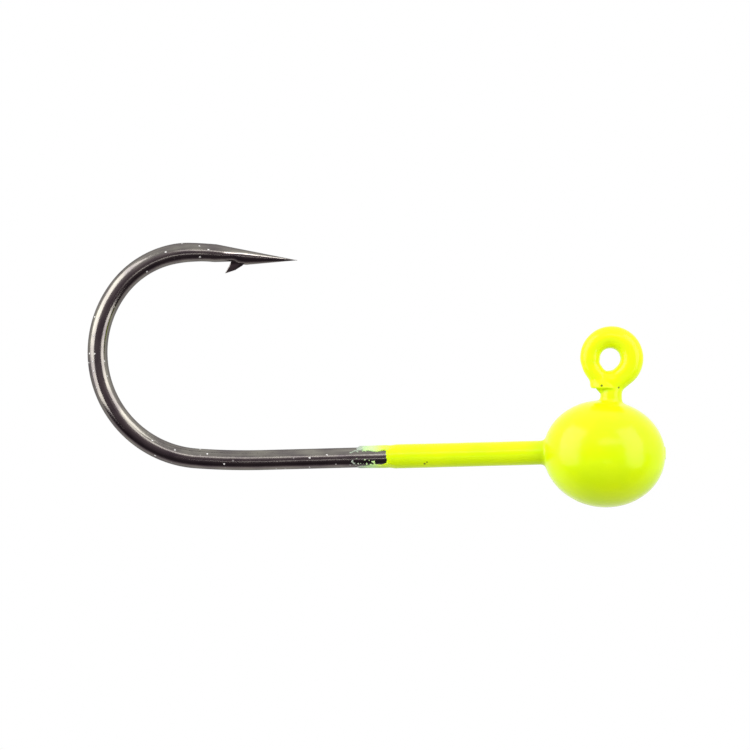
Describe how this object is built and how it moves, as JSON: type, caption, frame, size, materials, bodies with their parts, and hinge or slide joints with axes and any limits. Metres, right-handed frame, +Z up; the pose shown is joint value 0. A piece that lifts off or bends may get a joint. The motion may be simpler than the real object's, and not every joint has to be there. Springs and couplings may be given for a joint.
{
  "type": "ball jig head",
  "caption": "Ball jig head: a round lead head on a wide-bend barbed jig hook with a standing line eye, painted fluorescent yellow-green over a white base coat.",
  "frame": {"origin": "centre of the hole in the line eye, in the plane of the hook", "axes": "+X towards the nose of the head, +Z up from the head through the eye, +Y across the plane of the hook along the axis of the eye's hole"},
  "size_m": [0.0453, 0.0084, 0.0208],
  "materials": {
    "black_nickel_wire": "polished",
    "cast_lead": "matte",
    "white_base_coat": "matte",
    "fluorescent_top_coat": "gloss"
  },
  "bodies": {
    "root": {"hook": "black_nickel_wire", "head_casting": "cast_lead", "base_coat": "white_base_coat", "top_coat": "fluorescent_top_coat"}
  },
  "joints": []
}
